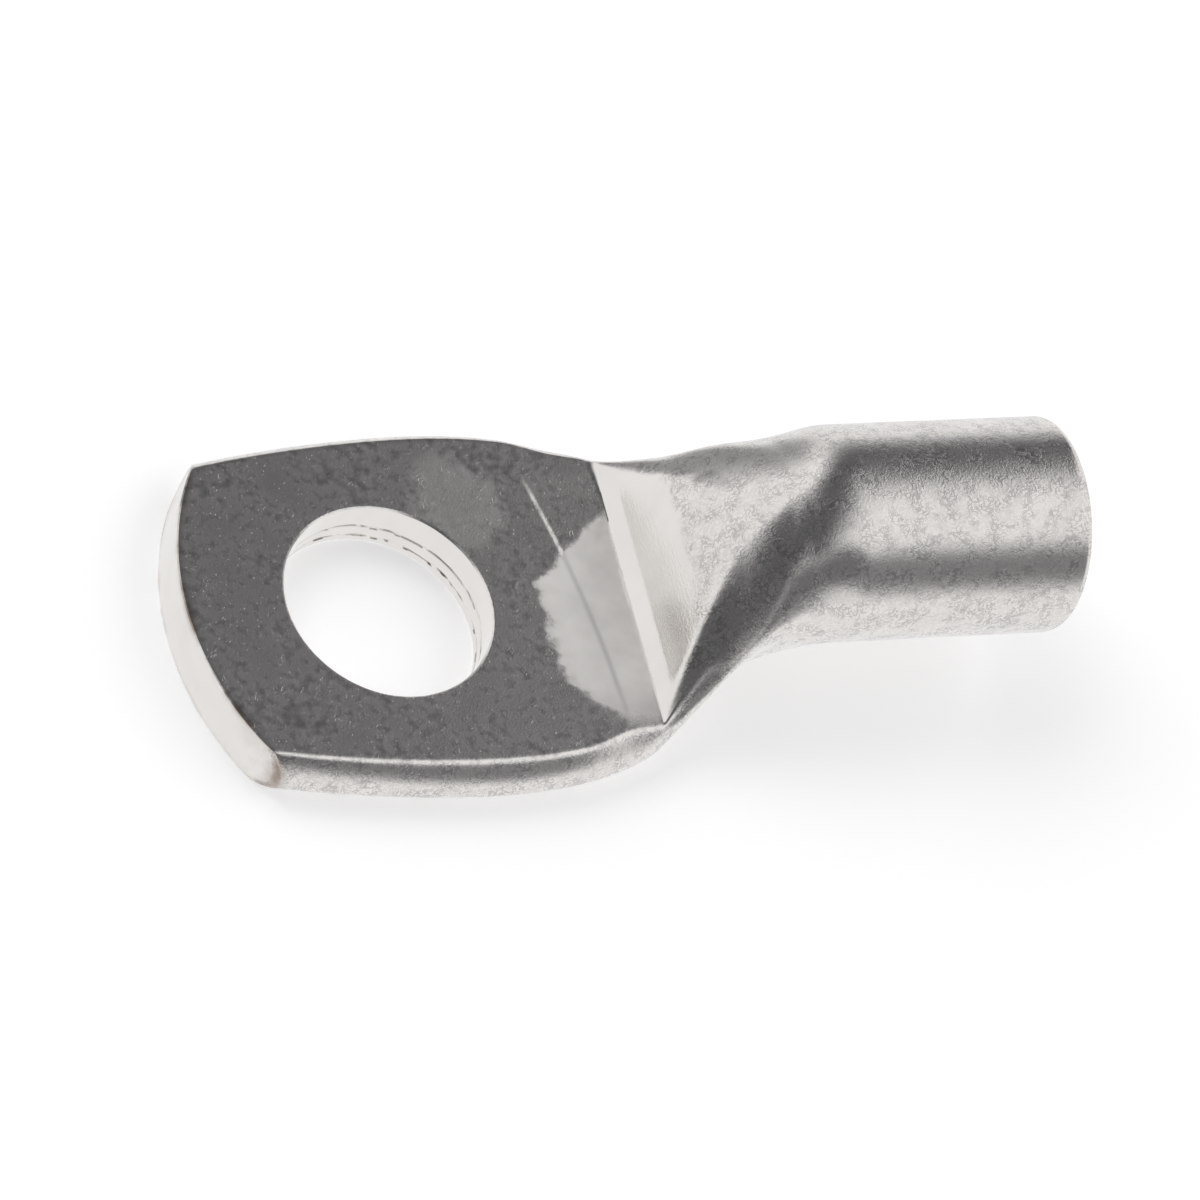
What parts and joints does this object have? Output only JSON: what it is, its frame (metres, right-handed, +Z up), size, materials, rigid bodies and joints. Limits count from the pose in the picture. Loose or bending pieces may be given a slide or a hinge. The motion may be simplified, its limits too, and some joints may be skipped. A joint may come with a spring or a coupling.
{
  "type": "copper tube lug",
  "caption": "Tin plated copper tube lug: a round barrel for the cable, bent up from a flat palm with a stud hole and an arc-shaped end.",
  "frame": {"origin": "where the stud hole's axis meets the palm's underside", "axes": "+X along the barrel towards its mouth, +Z up along the stud"},
  "size_m": [0.0542, 0.0244, 0.0156],
  "materials": {
    "tin_plate": "satin tin plate with fine grain and draw marks"
  },
  "bodies": {
    "root": {"lug_body": "tin_plate"}
  },
  "joints": []
}
